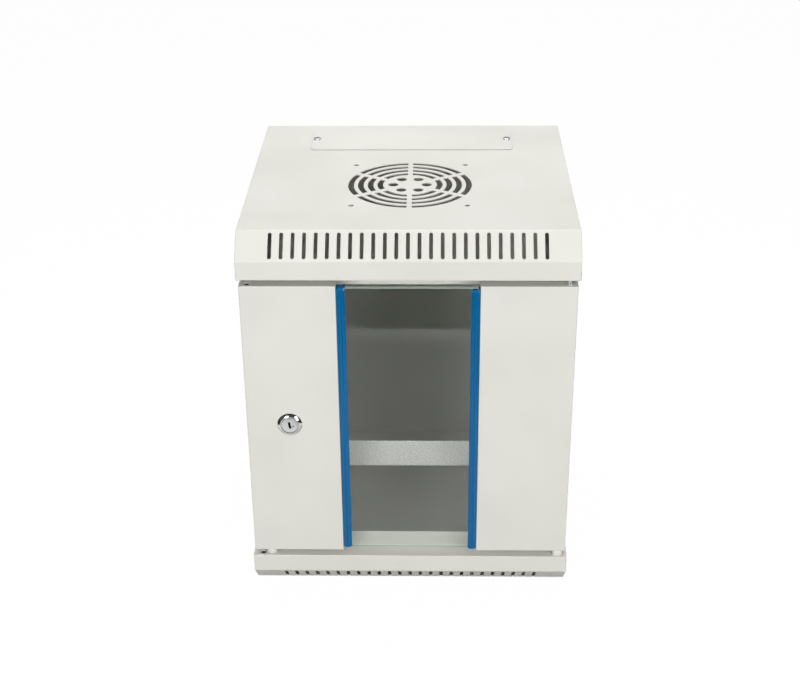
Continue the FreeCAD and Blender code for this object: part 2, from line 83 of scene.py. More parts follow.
def ends(span, levels):
    # sockets of a Map Range node: the span that comes in and the levels that go out
    return dict(zip((1, 2, 3, 4), (*span, *levels)))


def scaleFor(size):  # texture scale for features so many millimetres wide
    return 1 / (size * mm)


def newMaterial(name):
    # an empty material and its piece's own coordinates, in metres
    material = bpy.data.materials.new(name)
    material.use_nodes = True
    material.node_tree.nodes.clear()
    return material, addNode(material, "TexCoord").outputs["Object"]


def finishMaterial(material, shader):
    addNode(material, "OutputMaterial", {0: shader})
    return material


def makePiece(name, bm, materials, body, replaced=()):
    mesh = bpy.data.meshes.new(name)
    bm.to_mesh(mesh)
    bm.free()
    for material in materials:
        mesh.materials.append(material)
    piece = bpy.data.objects.new(name, mesh)
    bpy.context.scene.collection.objects.link(piece)
    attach(piece, body)
    if replaced:
        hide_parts(*replaced)
    return piece


def shadeByAngle(piece, degrees):
    # smooth where faces meet at less than this angle, sharp elsewhere
    piece.data.polygons.foreach_set("use_smooth", [True] * len(piece.data.polygons))
    bm = bmesh.new()
    bm.from_mesh(piece.data)
    for edge in bm.edges:
        edge.smooth = len(edge.link_faces) == 2 and edge.calc_face_angle() < math.radians(degrees)
    bm.to_mesh(piece.data)
    bm.free()


# helpers for shapes

def only(kind, geometry):
    return [part for part in geometry if isinstance(part, kind)]


def joinInto(bm, part, matrix=None):
    # adds a finished bmesh to another one
    if matrix:
        bmesh.ops.transform(part, matrix=matrix, verts=part.verts[:])
    mesh = bpy.data.meshes.new("joined")
    part.to_mesh(mesh)
    part.free()
    bm.from_mesh(mesh)
    bpy.data.meshes.remove(mesh)


def boxBetween(low, high):
    bm = bmesh.new()
    bmesh.ops.create_cube(bm, size=1.0)
    bmesh.ops.scale(bm, vec=high - low, verts=bm.verts[:])
    bmesh.ops.translate(bm, vec=(low + high) / 2, verts=bm.verts[:])
    return bm


def roundEdges(bm, edges, radius, segments):
    return bmesh.ops.bevel(bm, geom=edges, offset=radius, offset_type="OFFSET", affect="EDGES",
                           segments=segments, profile=0.5, material=-1)


def sharpEdges(bm, degrees):
    return [e for e in bm.edges if len(e.link_faces) == 2 and e.calc_face_angle() > math.radians(degrees)]


def lathe(profile, steps, closed=False):
    # profile: (radius, height) pairs, spun about Z; closed for a ring with a bore
    bm = bmesh.new()
    verts = [bm.verts.new((r * mm, 0, h * mm)) for r, h in profile]
    pairs = list(zip(verts, verts[1:] + ([verts[0]] if closed else [])))
    edges = [bm.edges.new(pair) for pair in pairs]
    bmesh.ops.spin(bm, geom=verts + edges, cent=(0, 0, 0), axis=(0, 0, 1), dvec=(0, 0, 0), angle=math.tau,
                   steps=steps, use_merge=True, use_normal_flip=False, use_duplicate=False)
    bmesh.ops.remove_doubles(bm, verts=bm.verts[:], dist=same)
    bmesh.ops.recalc_face_normals(bm, faces=bm.faces[:])
    return bm


def loopInto(bm, points):
    # a closed outline of edges
    verts = [bm.verts.new(point) for point in points]
    return [bm.edges.new((verts[i - 1], verts[i])) for i in range(len(verts))]


def edgesOf(verts):
    return list(dict.fromkeys(edge for vert in verts for edge in vert.link_edges))


def circleInto(bm, radius, centre, steps):
    made = bmesh.ops.create_circle(bm, cap_ends=False, segments=steps, radius=radius)
    bmesh.ops.translate(bm, vec=centre, verts=made["verts"])
    return edgesOf(made["verts"])


def roundSlotInto(bm, width, length, centre, steps=16):
    # a circle whose upper half is pushed up and whose lower half is pushed down
    half = math.pi / steps
    made = bmesh.ops.create_circle(bm, cap_ends=False, segments=steps, radius=width / 2 / math.cos(half))
    bmesh.ops.rotate(bm, cent=(0, 0, 0), matrix=Matrix.Rotation(half, 3, "Z"), verts=made["verts"])
    for vert in made["verts"]:
        vert.co.y += math.copysign((length - width) / 2, vert.co.y)
    bmesh.ops.translate(bm, vec=centre, verts=made["verts"])
    return edgesOf(made["verts"])


def fillPanel(bm, edges, up=(0, 0, 1)):
    # fills an outline and leaves its openings open
    return bmesh.ops.triangle_fill(bm, use_beauty=True, use_dissolve=False, edges=edges, normal=up)["geom"]


def pullEdges(bm, edges, by):
    # extrudes a loop of edges; gives back its far vertices, its far edges and the wall between
    grown = bmesh.ops.extrude_edge_only(bm, edges=edges)["geom"]
    verts = only(BMVert, grown)
    bmesh.ops.translate(bm, vec=by, verts=verts)
    return verts, [e for e in only(BMEdge, grown) if all(v in verts for v in e.verts)], only(BMFace, grown)


def sinkInto(bm, outline, depth, taper=1.0):
    # a blind recess below a closed outline of edges; gives back the faces inside it
    deep, bottom, wall = pullEdges(bm, outline, (0, 0, -depth))
    middle = sum((v.co for v in deep), Vector()) / len(deep)
    for vert in deep:
        vert.co.xy = vert.co.xy.lerp(middle.xy, 1 - taper)
    return wall + only(BMFace, fillPanel(bm, bottom))


# materials

noiseSpan = (0.3, 0.7)            # nearly all values of a noise texture lie between these


def mottle(material, vector, look, detail=2.0, roughness=0.5, most=1.0):
    # noise that blends the two tones of a look; gives back their colour and the noise
    noise = addNode(material, "TexNoise", {
        "Vector": vector, "Scale": scaleFor(look["mottleMm"]), "Detail": detail, "Roughness": roughness})
    blend = addNode(material, "MapRange", {0: noise, **ends(look["mottleSpan"], (0.0, most))})
    first, second = look["tones"]
    colour = addNode(material, "Mix", {0: blend, 6: hexColour(first), 7: hexColour(second)},
                     data_type="RGBA")
    return colour.outputs[2], noise


coatLook = {
    "tones": ("cccbc4", "cfcec8"),               # light grey, a little warm
    "mottleMm": 70, "mottleSpan": (0.35, 0.65),  # slow drift of the colour over a panel
    "roughness": (0.40, 0.50), "specular": 0.5,
    "peelMm": 2.2, "peelDepth": 0.035,           # orange peel left by the melted powder
    "grainMm": 0.6, "grainDepth": 0.006,         # fine tooth of the coat
}


def makePowderCoat():
    # polyester powder coat, sprayed and baked: even colour, satin shine, faint orange peel
    look = coatLook
    coat, place = newMaterial("satinPowderCoat")
    colour, cloud = mottle(coat, place, look)
    peel = addNode(coat, "TexNoise", {
        "Vector": place, "Scale": scaleFor(look["peelMm"]), "Detail": 1.0, "Roughness": 0.4})
    grain = addNode(coat, "TexNoise", {
        "Vector": place, "Scale": scaleFor(look["grainMm"]), "Detail": 1.0, "Roughness": 0.5})
    fine = addNode(coat, "Bump", {"Strength": 0.5, "Distance": look["grainDepth"] * mm, "Height": grain})
    skin = addNode(coat, "Bump", {
        "Strength": 0.6, "Distance": look["peelDepth"] * mm, "Height": peel, "Normal": fine})
    shine = addNode(coat, "MapRange", {0: cloud, **ends(noiseSpan, look["roughness"])})
    return finishMaterial(coat, addNode(coat, "BsdfPrincipled", {
        "Base Color": colour, "Normal": skin, "Roughness": shine, "Specular IOR Level": look["specular"]}))


zincSheetLook = {
    "tones": ("cecbc9", "efecea"),
    "mottleMm": 1.5, "mottleSpan": (0.42, 0.58),       # crystals of the zinc, drawn coarse so that they show
    "metallic": 0.45, "roughness": (0.46, 0.58),
    "grainMm": 0.5, "grainDepth": 0.008,
}


def makeGalvanised():
    # hot-dip galvanised sheet steel: pale dull grey with a mottle of small crystals
    look = zincSheetLook
    zinc, place = newMaterial("galvanisedSheet")
    colour, crystals = mottle(zinc, place, look, 3.0, 0.6)
    grain = addNode(zinc, "TexNoise", {"Vector": place, "Scale": scaleFor(look["grainMm"]), "Detail": 2.0})
    skin = addNode(zinc, "Bump", {"Strength": 0.5, "Distance": look["grainDepth"] * mm, "Height": grain})
    shine = addNode(zinc, "MapRange", {0: crystals, **ends(noiseSpan, look["roughness"])})
    return finishMaterial(zinc, addNode(zinc, "BsdfPrincipled", {
        "Base Color": colour, "Metallic": look["metallic"], "Normal": skin, "Roughness": shine}))


platedLook = {
    "tones": ("bcc2c8", "d4d6d6"), "mottleMm": 3, "mottleSpan": (0.35, 0.65),
    "metallic": 0.85, "roughness": (0.26, 0.38),
}


def makeBrightZinc():
    # electroplated zinc on steel screws and pins: bright, slightly blue, a little uneven
    look = platedLook
    zinc, place = newMaterial("brightZincPlate")
    colour, stain = mottle(zinc, place, look)
    shine = addNode(zinc, "MapRange", {0: stain, **ends(noiseSpan, look["roughness"])})
    return finishMaterial(zinc, addNode(zinc, "BsdfPrincipled", {
        "Base Color": colour, "Metallic": look["metallic"], "Roughness": shine}))


chromeLook = {"colour": "c8cacb", "rubMm": 1.5, "rubSpan": (0.35, 0.7), "roughness": (0.05, 0.16)}


def makeChrome():
    # bright chrome over nickel on a zinc die casting: mirror-like, a few faint rubbing marks
    look = chromeLook
    chrome, place = newMaterial("brightChrome")
    rub = addNode(chrome, "TexNoise", {"Vector": place, "Scale": scaleFor(look["rubMm"]), "Detail": 3.0})
    shine = addNode(chrome, "MapRange", {0: rub, **ends(look["rubSpan"], look["roughness"])})
    return finishMaterial(chrome, addNode(chrome, "BsdfPrincipled", {
        "Base Color": hexColour(look["colour"]), "Metallic": 1.0, "Roughness": shine}))


edgingLook = {
    "tones": ("005b8f", "026499"), "mottleMm": 1.3, "mottleSpan": (0.4, 0.7),
    "most": 0.6,                  # the second tone shows at most this much
    "stretch": 0.01,              # scale of its die lines along the strip, against across it
    "lineDepth": 0.02,
    "roughness": 0.24, "specular": 0.22,
}


def makeBluePvc():
    # extruded PVC edging: plain blue right through, half gloss, faint die lines along its length
    look = edgingLook
    pvc, place = newMaterial("extrudedBluePvc")
    drawn = addNode(pvc, "Mapping", {"Vector": place, "Scale": (1.0, 1.0, look["stretch"])})
    colour, lines = mottle(pvc, drawn, look, most=look["most"])
    skin = addNode(pvc, "Bump", {"Strength": 0.4, "Distance": look["lineDepth"] * mm, "Height": lines})
    return finishMaterial(pvc, addNode(pvc, "BsdfPrincipled", {
        "Base Color": colour, "Roughness": look["roughness"], "Normal": skin,
        "Specular IOR Level": look["specular"]}))


glassLook = {
    "colour": "edefed", "ior": 1.6,
    "shadow": "bfc4c1",           # what the pane leaves of a lamp's light
    "edge": "bccdbc", "edgeRoughness": 0.45, "edgeIor": 1.52, "edgeClear": 0.35,
    "gritMm": 0.4, "gritDepth": 0.03,
}


def makeClearGlass():
    # toughened float glass: clear, lets the lamps through to the inside
    look = glassLook
    glass, _ = newMaterial("clearFloatGlass")
    path = addNode(glass, "LightPath")
    body = addNode(glass, "BsdfPrincipled", {
        "Base Color": hexColour(look["colour"]), "Roughness": 0.0, "IOR": look["ior"],
        "Transmission Weight": 1.0})
    clear = addNode(glass, "BsdfTransparent", {"Color": hexColour(look["shadow"])})
    return finishMaterial(glass, addNode(glass, "MixShader", {
        0: path.outputs["Is Shadow Ray"], 1: body, 2: clear}))


def makeGroundEdge():
    # the pane's edges, ground with a fine wheel: frosted and green, as the light comes through its depth
    look = glassLook
    edge, place = newMaterial("groundGlassEdge")
    grit = addNode(edge, "TexNoise", {"Vector": place, "Scale": scaleFor(look["gritMm"]), "Detail": 2.0})
    skin = addNode(edge, "Bump", {"Strength": 0.4, "Distance": look["gritDepth"] * mm, "Height": grit})
    return finishMaterial(edge, addNode(edge, "BsdfPrincipled", {
        "Base Color": hexColour(look["edge"]), "Roughness": look["edgeRoughness"], "IOR": look["edgeIor"],
        "Normal": skin, "Transmission Weight": look["edgeClear"]}))


nylonLook = {
    "tones": ("d4d2c7", "dcdad1"), "mottleMm": 4, "mottleSpan": (0.0, 1.0),
    "roughness": 0.42, "ior": 1.53,
    "glow": 0.15, "glowMm": 1.0,  # light that sinks in, and how far
}


def makeNylon():
    # moulded natural nylon: milky white, satin, light sinks in a little
    look = nylonLook
    nylon, place = newMaterial("mouldedNylon")
    return finishMaterial(nylon, addNode(nylon, "BsdfPrincipled", {
        "Base Color": mottle(nylon, place, look, 1.0)[0], "Roughness": look["roughness"], "IOR": look["ior"],
        "Subsurface Weight": look["glow"], "Subsurface Scale": look["glowMm"] * mm}))


brassLook = {
    "tones": ("2a2018", "6a5230"), "mottleMm": 0.8, "mottleSpan": (0.0, 1.0),
    "metallic": 0.8, "roughness": 0.45,
}


def makeShadedBrass():
    # the bare brass inside the keyway and the pin hole, with painted shade: coloured dark for the shade deep
    # in these recesses
    look = brassLook
    brass, place = newMaterial("brassWithPaintedShade")
    return finishMaterial(brass, addNode(brass, "BsdfPrincipled", {
        "Base Color": mottle(brass, place, look)[0], "Metallic": look["metallic"],
        "Roughness": look["roughness"]}))


powderCoat = makePowderCoat()
galvanised = makeGalvanised()
brightZinc = makeBrightZinc()
chrome = makeChrome()
bluePvc = makeBluePvc()
clearGlass = makeClearGlass()
groundEdge = makeGroundEdge()
nylon = makeNylon()
shadedBrass = makeShadedBrass()

finishOfSlot = {
    "powder_coat": powderCoat, "galvanised_steel": galvanised, "zinc_hardware": brightZinc,
    "chrome_plate": chrome, "blue_trim": bluePvc, "clear_glass": clearGlass, "white_nylon": nylon,
}
for subpart in frame["record"]["subparts"]:
    node = nodes[subpart["node"]]
    node.data.materials.clear()
    node.data.materials.append(finishOfSlot[subpart["material_slot"]])
print("materials ready")


# pressed caps of the case, drawn as the upper one; sizes in millimetres

capShape = {
    "halfWidth": 150.0, "height": 368.0,         # of the whole case
    "rim": 39.0,                  # height of a cap
    "bevelDepth": 20.4, "bevelHeight": 21.2,
    "sheet": 1.0, "clear": 0.05,  # turned-in sheet clears the side walls by this
    "foldRadius": 0.7, "foldSteps": 3,
    "slots": 25, "slotPitch": 10.0, "slotWidth": 3.4, "slotLength": 24.6,
    "fanCentre": -20.0, "fanRings": (57.7, 48.6, 39.5, 30.5), "ringSlot": 5.4, "sectors": 6, "spoke": 4.7,
    "holeCircle": 15.6, "hole": 9.5, "fanScrews": 105.0, "fanScrewHole": 5.0,
    "entryCentre": 104.2, "entry": (172.0, 36.0), "entryCorner": 6.0, "cornerSteps": 6,
    "coverScrews": (95.5, 104.8), "coverScrewHole": 3.9,
    "stopSetback": 20.0, "topStop": 12.6, "bottomStop": 15.9,
    "pivot": (141.0, -144.6), "pivotHole": 5.7,
}


def fanGrille(panel):
    # rings of slots parted by spokes, a circle of holes inside them and the fan's screw holes
    shape = capShape
    centre = Vector((0, shape["fanCentre"] * mm, 0))
    sector = math.tau / shape["sectors"]
    edges = []
    for outer in shape["fanRings"]:
        inner = outer - shape["ringSlot"]
        for i in range(shape["sectors"]):
            start = sector * (i + 0.5)
            points = []
            for radius, forward in ((outer, True), (inner, False)):
                gap = math.asin(shape["spoke"] / 2 / radius)
                low, high = start + gap, start + sector - gap
                steps = 4 + int(radius / 4)      # finer on the outer rings
                arc = [low + (high - low) * i / steps for i in range(steps + 1)]
                for turn in (arc if forward else arc[::-1]):
                    points.append(centre + Vector((math.cos(turn), math.sin(turn), 0)) * radius * mm)
            edges += loopInto(panel, points)
    for i in range(shape["sectors"]):
        at = Vector((math.cos(sector * i), math.sin(sector * i), 0)) * shape["holeCircle"] * mm
        edges += circleInto(panel, shape["hole"] / 2 * mm, centre + at, 28)
    for sx in (-1, 1):
        for sy in (-1, 1):
            at = Vector((sx, sy, 0)) * shape["fanScrews"] / 2 * mm
            edges += circleInto(panel, shape["fanScrewHole"] / 2 * mm, centre + at, 20)
    return edges


def cableEntry(panel):
    # opening with round corners, and the two screw holes of its cover
    shape = capShape
    halfX, halfY = (size / 2 - shape["entryCorner"] for size in shape["entry"])
    steps = shape["cornerSteps"]
    outline = []
    for i, (sx, sy) in enumerate(((1, 1), (-1, 1), (-1, -1), (1, -1))):
        for step in range(steps + 1):
            turn = math.pi / 2 * (i + step / steps)
            corner = Vector((math.cos(turn), math.sin(turn), 0)) * shape["entryCorner"]
            outline.append((Vector((sx * halfX, sy * halfY + shape["entryCentre"], 0)) + corner) * mm)
    edges = loopInto(panel, outline)
    for side in (-1, 1):
        at = Vector((side * shape["coverScrews"][0], shape["coverScrews"][1], 0)) * mm
        edges += circleInto(panel, shape["coverScrewHole"] / 2 * mm, at, 16)
    return edges


def louvres(panel):
    shape = capShape
    middle = math.hypot(shape["bevelDepth"], shape["bevelHeight"]) / 2
    edges = []
    for i in range(shape["slots"]):
        at = Vector(((i - (shape["slots"] - 1) / 2) * shape["slotPitch"], middle, 0)) * mm
        edges += roundSlotInto(panel, shape["slotWidth"] * mm, shape["slotLength"] * mm, at)
    return edges


def pivotHoles(panel):
    edges = []
    for side in (-1, 1):
        at = Vector((side * capShape["pivot"][0], capShape["pivot"][1], 0)) * mm
        edges += circleInto(panel, capShape["pivotHole"] / 2 * mm, at, 28)
    return edges


def panelInto(cap, outline, place=None, cuts=(), up=(0, 0, 1)):
    # a flat panel with its openings, put in its place
    panel = bmesh.new()
    edges = loopInto(panel, outline)
    for cut in cuts:
        edges += cut(panel)
    fillPanel(panel, edges, up)
    joinInto(cap, panel, place)


def makeCap(name, node, stopHeight, roofCuts, turnedOver):
    shape = capShape
    half = shape["halfWidth"] * mm
    top = shape["height"] * mm
    rim = top - shape["rim"] * mm
    depth, height = shape["bevelDepth"] * mm, shape["bevelHeight"] * mm
    foldY, foldZ = depth - half, top - height
    inner = half - (shape["sheet"] + shape["clear"]) * mm
    stopY = shape["stopSetback"] * mm - half
    stopLow = rim - stopHeight * mm
    slope = math.hypot(depth, height)
    upright = Matrix.Rotation(math.radians(90), 4, "X")
    front, rear = Matrix.Translation((0, -half, 0)), Matrix.Translation((0, half, 0))
    cap = bmesh.new()
    # roof, slanted front with its louvre slots, upright front
    panelInto(cap, [(-half, foldY, 0), (half, foldY, 0), (half, half, 0), (-half, half, 0)],
              Matrix.Translation((0, 0, top)), roofCuts)
    panelInto(cap, [(-half, 0, 0), (half, 0, 0), (half, slope, 0), (-half, slope, 0)],
              Matrix.Translation((0, -half, foldZ)) @ Matrix.Rotation(math.atan2(height, depth), 4, "X"),
              [louvres])
    panelInto(cap, [(-half, rim, 0), (-inner, rim, 0), (inner, rim, 0), (half, rim, 0), (half, foldZ, 0),
                    (-half, foldZ, 0)], front @ upright)
    # ledge over the door, and the door stop behind it
    panelInto(cap, [(-inner, -half, 0), (inner, -half, 0), (inner, stopY, 0), (-inner, stopY, 0)],
              Matrix.Translation((0, 0, rim)), [pivotHoles])
    panelInto(cap, [(-inner, stopLow, 0), (inner, stopLow, 0), (inner, rim, 0), (-inner, rim, 0)],
              Matrix.Translation((0, stopY, 0)) @ upright)
    # rear and side walls
    panelInto(cap, [(-half, rim, 0), (half, rim, 0), (half, top, 0), (-half, top, 0)], rear @ upright)
    for x in (-half, half):
        panelInto(cap, [(x, half, rim), (x, half, top), (x, foldY, top), (x, -half, foldZ), (x, -half, rim)],
                  up=(math.copysign(1, x), 0, 0))
    bmesh.ops.remove_doubles(cap, verts=cap.verts[:], dist=same)
    bmesh.ops.recalc_face_normals(cap, faces=cap.faces[:])
    if max(cap.faces, key=lambda f: f.calc_center_median().z).normal.z < 0:        # the roof looks up
        bmesh.ops.reverse_faces(cap, faces=cap.faces[:])
    for face in roundEdges(cap, sharpEdges(cap, 20), shape["foldRadius"] * mm, shape["foldSteps"])["faces"]:
        face.smooth = True
    if turnedOver:
        bmesh.ops.scale(cap, vec=(1, 1, -1), verts=cap.verts[:])
        bmesh.ops.translate(cap, vec=(0, 0, top), verts=cap.verts[:])
        bmesh.ops.reverse_faces(cap, faces=cap.faces[:])
    piece = makePiece(name, cap, [powderCoat], "cabinet", [node])
    wall = piece.modifiers.new("sheet", "SOLIDIFY")
    wall.thickness = shape["sheet"] * mm
    wall.offset = -1.0
    wall.use_even_offset = True


makeCap("topCapPressing", "top_cap", capShape["topStop"], [fanGrille, cableEntry], False)
makeCap("bottomCapPressing", "bottom_cap", capShape["bottomStop"], [cableEntry], True)
print("caps ready")


# plates over the cable entries

coverShape = {
    "corner": 4.5, "cornerSteps": 6, "edge": 0.1, "edgeSteps": 2,
    "gap": 0.45,                  # left open under the plate, which gives its fine shadow line
}


def makeCovers():
    shape = coverShape
    for node, name in (("top_entry_cover", "roofCover"), ("bottom_entry_cover", "floorCover")):
        low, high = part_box(node)
        bm = boxBetween(low + Vector((0, 0, shape["gap"] * mm)), high)
        uprights = [e for e in bm.edges if abs(e.verts[0].co.z - e.verts[1].co.z) > same]
        roundEdges(bm, uprights, shape["corner"] * mm, shape["cornerSteps"])
        rim = [e for e in bm.edges if all(v.co.z > high.z - same for v in e.verts)]
        roundEdges(bm, rim, shape["edge"] * mm, shape["edgeSteps"])
        makePiece(name, bm, [powderCoat], "cabinet", [node])


makeCovers()
print("covers ready")


# screws

crossScrew = {
    "steps": 40, "domeSteps": 5,
    "flat": 0.72, "arm": 0.62, "armWidth": 0.2,  # top and cross, as shares of the head's radius
    "straight": 0.35, "depth": 0.55,             # of its side and of the cross, as shares of its height
    "taper": 0.6,                 # the cross narrows to this at its bottom
    "pitch": 0.3, "crest": 0.99, "root": 0.86, "tip": 0.8,         # thread, as shares of the shank's radius
}

screwSets = {
    # node: head height, head radius, shank radius, the way the head looks (towards the middle if none)
    "top_cover_screws": (1.7, 3.5, 1.95, (0, 0, 1)),
    "bottom_cover_screws": (1.7, 3.5, 1.95, (0, 0, 1)),
    "bar_screws": (3.8, 5.7, 3.0, (0, -1, 0)),
    "rail_screws": (3.8, 5.5, 3.0, None),
}


def crossHead(radius, height, shankRadius, shankLength):
    # a pan head with a cross recess on a grooved shank; the head's seat is at height 0
    look = crossScrew
    flat, straight = radius * look["flat"], look["straight"]
    dome = [(radius, 0.0), (radius, height * straight)]
    for i in range(1, look["domeSteps"] + 1):
        bend = math.pi / 2 * i / look["domeSteps"]
        dome.append((flat + (radius - flat) * math.cos(bend),
                     height * (straight + (1 - straight) * math.sin(bend))))
    pitch, crest, root = (shankRadius * look[part] for part in ("pitch", "crest", "root"))
    shank = [(crest, 0.0)]
    for i in range(1, int(shankLength / pitch)):
        shank += [(crest, -pitch * (i - 0.25)), (root, -pitch * i)]
    shank.append((shankRadius * look["tip"], -shankLength))
    part = lathe([(0.0, -shankLength)] + shank[::-1] + dome, look["steps"])
    rim = [e for e in part.edges if e.is_boundary]
    arm, half = radius * look["arm"], radius * look["armWidth"] / 2
    corners = [Matrix.Rotation(math.radians(90 * i), 3, "Z") @ Vector((x, y, height)) * mm
               for i in range(4) for x, y in ((arm, -half), (arm, half), (half, half))]
    cross = loopInto(part, corners)
    fillPanel(part, rim + cross)
    sinkInto(part, cross, height * look["depth"] * mm, look["taper"])
    bmesh.ops.recalc_face_normals(part, faces=part.faces[:])
    return part


def solidBoxes(node):
    # the boxes of the separate solids in one CAD node
    bm = bmesh.new()
    bm.from_mesh(nodes[node].data)
    bmesh.ops.remove_doubles(bm, verts=bm.verts[:], dist=same)
    left = set(bm.verts)
    boxes = []
    while left:
        group = [left.pop()]
        for vert in group:
            for edge in vert.link_edges:
                other = edge.other_vert(vert)
                if other in left:
                    left.remove(other)
                    group.append(other)
        boxes.append((Vector([min(v.co[i] for v in group) for i in range(3)]),
                      Vector([max(v.co[i] for v in group) for i in range(3)])))
    bm.free()
    return sorted(boxes, key=lambda b: tuple(round(c, 4) for c in b[0]))


def makeScrews():
    for node, (height, radius, shankRadius, look) in screwSets.items():
        bm = bmesh.new()
        for low, high in solidBoxes(node):
            centre = (low + high) / 2
            outward = Vector(look) if look else Vector((-math.copysign(1, centre.x), 0, 0))
            axis = max(range(3), key=lambda i: abs(outward[i]))
            length = (high[axis] - low[axis]) / mm
            seat = centre + outward * (length / 2 - height) * mm
            turn = Vector((0, 0, 1)).rotation_difference(outward).to_matrix().to_4x4()
            joinInto(bm, crossHead(radius, height, shankRadius, length - height),
                     Matrix.Translation(seat) @ turn)
        name = node.replace("_", "") + "Cross"
        shadeByAngle(makePiece(name, bm, [brightZinc], "cabinet", [node]), 35)


makeScrews()
print("screws ready")


# support bar

barShape = {
    "sheet": 1.5, "foldInside": 0.8, "rim": 0.7, "roundSteps": 4,
    "ledgeHalf": 110,             # the ledge ends just inside the rails
    "lift": 0.45,                 # play of the screws in its slots
}


def makeBar():
    # an angle of galvanised sheet: upright web, ledge behind its foot, soft upper rim
    shape = barShape
    low, high = (corner + Vector((0, 0, shape["lift"] * mm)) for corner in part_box("support_bar"))
    sheet, ledgeHalf = shape["sheet"] * mm, shape["ledgeHalf"] * mm
    bm = boxBetween(low, Vector((high.x, low.y + sheet, high.z)))
    for point, across in (((-ledgeHalf, 0, 0), (1, 0, 0)), ((ledgeHalf, 0, 0), (1, 0, 0)),
                          ((0, 0, low.z + sheet), (0, 0, 1))):
        bmesh.ops.bisect_plane(bm, geom=bm.verts[:] + bm.edges[:] + bm.faces[:], plane_co=point,
                               plane_no=across)
    bm.normal_update()
    foot = []                     # the strip of the web's rear from which the ledge grows
    for face in bm.faces:
        centre = face.calc_center_median()
        if face.normal.y > 0.9 and centre.z < low.z + sheet and abs(centre.x) < ledgeHalf:
            foot.append(face)
    grown = bmesh.ops.extrude_discrete_faces(bm, faces=foot)
    far = [v for face in grown["faces"] for v in face.verts]
    bmesh.ops.translate(bm, vec=(0, high.y - low.y - sheet, 0), verts=far)
    bmesh.ops.recalc_face_normals(bm, faces=bm.faces[:])
    inside, fold, rims = [], [], []
    for edge in bm.edges:
        first, last = (vert.co for vert in edge.verts)
        overLedge = abs(first.x + last.x) / 2 < ledgeHalf
        if abs(first.x - last.x) < same:
            continue
        if first.z > high.z - same:
            rims.append(edge)
        elif overLedge and (first.yz - low.yz).length < same:
            fold.append(edge)
        elif overLedge and (first.yz - low.yz - Vector((sheet, sheet))).length < same:
            inside.append(edge)
    insideRadius = shape["foldInside"] * mm
    for edges, radius in ((inside, insideRadius), (fold, insideRadius + sheet), (rims, shape["rim"] * mm)):
        roundEdges(bm, edges, radius, shape["roundSteps"])
    shadeByAngle(makePiece("barAngle", bm, [galvanised], "cabinet", ["support_bar"]), 35)


makeBar()
print("bar ready")


# glass door pane

paneShape = {"chamfer": 0.5}


def makePane():
    bm = boxBetween(*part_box("door_glass"))
    rim = [e for e in bm.edges if abs(e.verts[0].co.y - e.verts[1].co.y) < same]
    roundEdges(bm, rim, paneShape["chamfer"] * mm, 1)
    for face in bm.faces:
        face.material_index = 0 if abs(face.normal.y) > 0.99 else 1
    makePiece("doorPane", bm, [clearGlass, groundEdge], "door", ["door_glass"])


makePane()
print("glass ready")


# edging of the glass

edgingShape = {
    "lip": 0.3, "ridge": 1.4,     # foot beside the crown; its two ridges stand this far from the middle
    "valley": 0.8,                # depth of the V between them
    "crest": 0.25,                # how softly the ridges turn over
    "steps": 56, "endSlope": 2.4, "endCap": 0.4,
}


def crownHeight(across, halfWidth, rise):
    # height of the double crown over its foot, in millimetres; across is measured from its middle
    shape = edgingShape
    ridge, crest = shape["ridge"], shape["crest"]
    away = abs(across) - ridge
    fall, reach = (rise, halfWidth - ridge) if away > 0 else (shape["valley"], ridge)
    bend = math.sqrt(away * away + crest * crest) - crest
    return rise - fall * bend / (math.sqrt(reach * reach + crest * crest) - crest)


def makeEdging():
    # a channel that grips the pane, with two soft ridges in front that slope down at the upper end
    shape = edgingShape
    steps = shape["steps"]
    glassLow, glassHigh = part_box("door_glass")
    for side, node, name in ((1, "right_glass_trim", "rightEdging"), (-1, "left_glass_trim", "leftEdging")):
        low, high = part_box(node)
        inner, outer = (low.x, high.x) if side > 0 else (high.x, low.x)
        middle, halfWidth = (inner + outer) / 2, abs(outer - inner) / 2
        foot = glassLow.y - shape["lip"] * mm
        rise = (foot - low.y) / mm
        wall = abs(outer) - glassHigh.x
        crown = []
        for i in range(steps + 1):
            across = halfWidth * (2 * i / steps - 1)
            height = crownHeight(across / mm, halfWidth / mm, rise) * mm
            crown.append((middle + side * across, foot - height, low.z))
        grip = [(outer, high.y, low.z), (inner + side * wall, high.y, low.z),
                (inner + side * wall, glassHigh.y, low.z), (outer - side * wall, glassHigh.y, low.z),
                (outer - side * wall, glassLow.y, low.z), (inner, glassLow.y, low.z)]
        bm = bmesh.new()
        top = [bm.faces.new([bm.verts.new(point) for point in crown + grip])]
        end = min(high.z, glassHigh.z)
        for level in (end - shape["endSlope"] * mm, end):
            grown = bmesh.ops.extrude_face_region(bm, geom=top)["geom"]
            top = only(BMFace, grown)
            for vert in only(BMVert, grown):
                vert.co.z = level
                if level == end:
                    vert.co.y = max(vert.co.y, foot)
        if high.z > glassHigh.z:
            joinInto(bm, boxBetween(Vector((low.x, foot, end)),
                                    Vector((high.x, high.y, end + shape["endCap"] * mm))))
        bmesh.ops.recalc_face_normals(bm, faces=bm.faces[:])
        shadeByAngle(makePiece(name, bm, [bluePvc], "door", [node]), 50)


makeEdging()
print("edging ready")


# cam lock

